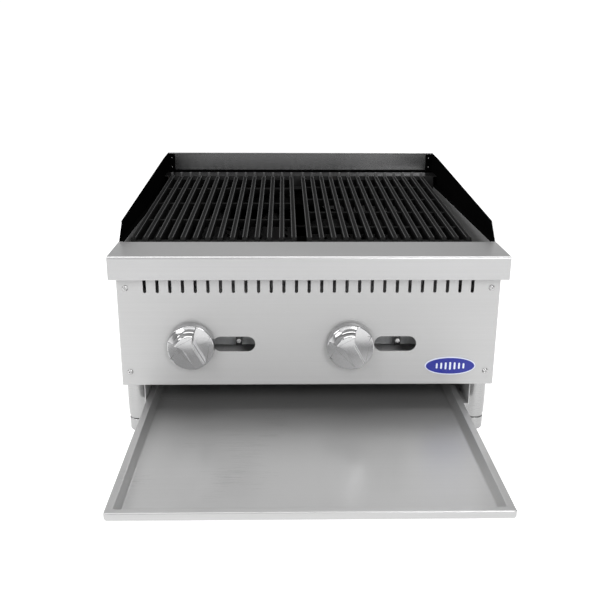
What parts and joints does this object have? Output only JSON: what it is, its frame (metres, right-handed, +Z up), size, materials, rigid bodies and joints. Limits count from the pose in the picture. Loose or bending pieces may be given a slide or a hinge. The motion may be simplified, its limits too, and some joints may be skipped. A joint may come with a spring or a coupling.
{
  "type": "countertop gas charbroiler",
  "caption": "Low countertop gas charbroiler with sloped cast-iron grates over radiants and tube burners, splash guards, control knobs, short adjustable legs and a pull-out drip tray.",
  "frame": {"origin": "on the counter under the centre of the outline, with the drip tray pulled out", "axes": "+X to the right, +Y to the back, +Z up"},
  "size_m": [0.613, 1.026, 0.386],
  "materials": {
    "stainless_panel": "satin brushed",
    "stainless_ledge": "satin brushed",
    "stainless_tray": "bright rolled",
    "stainless_splash": "satin brushed",
    "aluminized_shield": "dull",
    "cast_grate": "seasoned black",
    "cast_radiant": "sand cast",
    "cast_burner": "sand cast",
    "zinc_steel": "zinc plated",
    "brass_fittings": "machined",
    "chrome_knob": "polished",
    "leg_steel": "polished",
    "spring_steel": "drawn wire",
    "pilot_black": "black",
    "copper_tube": "drawn tube",
    "badge_blue": "gloss"
  },
  "bodies": {
    "root": {"front_panel": "stainless_panel", "front_ledge": "stainless_ledge", "left_side_panel": "stainless_panel", "right_side_panel": "stainless_panel", "back_panel": "stainless_panel", "base_frame": "aluminized_shield", "left_splash_guard": "stainless_splash", "right_splash_guard": "stainless_splash", "backsplash": "stainless_splash", "rear_heat_shield": "aluminized_shield", "front_heat_shield": "aluminized_shield", "left_heat_shield": "aluminized_shield", "right_heat_shield": "aluminized_shield", "front_grate_rail": "cast_burner", "rear_grate_rail": "cast_burner", "left_outer_radiant": "cast_radiant", "left_inner_radiant": "cast_radiant", "right_inner_radiant": "cast_radiant", "right_outer_radiant": "cast_radiant", "left_burner": "cast_burner", "right_burner": "cast_burner", "left_orifice": "brass_fittings", "right_orifice": "brass_fittings", "manifold": "zinc_steel", "gas_inlet_pipe": "zinc_steel", "left_valve_body": "brass_fittings", "right_valve_body": "brass_fittings", "left_pilot_valve": "pilot_black", "right_pilot_valve": "pilot_black", "left_pilot_tube": "copper_tube", "right_pilot_tube": "copper_tube", "left_tray_runner": "stainless_panel", "right_tray_runner": "stainless_panel", "front_left_leg": "leg_steel", "front_right_leg": "leg_steel", "rear_left_leg": "leg_steel", "rear_right_leg": "leg_steel", "panel_screws": "zinc_steel", "splash_screws": "zinc_steel", "leg_nuts": "zinc_steel", "badge": "badge_blue"},
    "left_valve_plug": {"left_valve_plug": "brass_fittings", "left_stem_spring": "spring_steel"},
    "right_valve_plug": {"right_valve_plug": "brass_fittings", "right_stem_spring": "spring_steel"},
    "left_knob": {"left_knob": "chrome_knob", "left_stem": "zinc_steel"},
    "right_knob": {"right_knob": "chrome_knob", "right_stem": "zinc_steel"},
    "drip_tray": {"drip_tray": "stainless_tray"},
    "left_grate": {"left_grate": "cast_grate"},
    "right_grate": {"right_grate": "cast_grate"},
    "left_air_shutter": {"left_air_shutter": "zinc_steel"},
    "right_air_shutter": {"right_air_shutter": "zinc_steel"},
    "left_pilot_screw": {"left_pilot_screw": "zinc_steel"},
    "right_pilot_screw": {"right_pilot_screw": "zinc_steel"},
    "front_left_foot": {"front_left_foot": "leg_steel"},
    "front_right_foot": {"front_right_foot": "leg_steel"},
    "rear_left_foot": {"rear_left_foot": "leg_steel"},
    "rear_right_foot": {"rear_right_foot": "leg_steel"}
  },
  "joints": [
    {"name": "tray_slide", "type": "slide", "parent": "root", "child": "drip_tray", "axis": [0, -1, 0], "range_m": [-0.315, 0.1]},
    {"name": "left_grate_lift", "type": "slide", "parent": "root", "child": "left_grate", "axis": [0, 0, 1], "range_m": [0, 0.15]},
    {"name": "right_grate_lift", "type": "slide", "parent": "root", "child": "right_grate", "axis": [0, 0, 1], "range_m": [0, 0.15]},
    {"name": "left_valve_turn", "type": "hinge", "parent": "root", "child": "left_valve_plug", "pos_m": [-0.186, -0.193, 0.173], "axis": [0, -1, 0], "range_deg": [0, 180]},
    {"name": "left_knob_push", "type": "slide", "parent": "left_valve_plug", "child": "left_knob", "axis": [0, 1, 0], "range_m": [0, 0.003], "stiffness_N_per_m": 1500, "springref_m": -0.003, "deforming": ["left_stem_spring"]},
    {"name": "right_valve_turn", "type": "hinge", "parent": "root", "child": "right_valve_plug", "pos_m": [0.0655, -0.193, 0.173], "axis": [0, -1, 0], "range_deg": [0, 180]},
    {"name": "right_knob_push", "type": "slide", "parent": "right_valve_plug", "child": "right_knob", "axis": [0, 1, 0], "range_m": [0, 0.003], "stiffness_N_per_m": 1500, "springref_m": -0.003, "deforming": ["right_stem_spring"]},
    {"name": "left_shutter_turn", "type": "hinge", "parent": "root", "child": "left_air_shutter", "pos_m": [-0.186, -0.144, 0.212], "axis": [0, -1, 0], "range_deg": [-45, 45]},
    {"name": "right_shutter_turn", "type": "hinge", "parent": "root", "child": "right_air_shutter", "pos_m": [0.0655, -0.144, 0.212], "axis": [0, -1, 0], "range_deg": [-45, 45]},
    {"name": "left_pilot_screw_turn", "type": "hinge", "parent": "root", "child": "left_pilot_screw", "pos_m": [-0.112, -0.171, 0.171], "axis": [0, -1, 0], "range_deg": [-180, 360]},
    {"name": "right_pilot_screw_turn", "type": "hinge", "parent": "root", "child": "right_pilot_screw", "pos_m": [0.1445, -0.171, 0.171], "axis": [0, -1, 0], "range_deg": [-180, 360]},
    {"name": "front_left_foot_height", "type": "slide", "parent": "root", "child": "front_left_foot", "axis": [0, 0, -1], "range_m": [0, 0.025]},
    {"name": "front_right_foot_height", "type": "slide", "parent": "root", "child": "front_right_foot", "axis": [0, 0, -1], "range_m": [0, 0.025]},
    {"name": "rear_left_foot_height", "type": "slide", "parent": "root", "child": "rear_left_foot", "axis": [0, 0, -1], "range_m": [0, 0.025]},
    {"name": "rear_right_foot_height", "type": "slide", "parent": "root", "child": "rear_right_foot", "axis": [0, 0, -1], "range_m": [0, 0.025]}
  ]
}
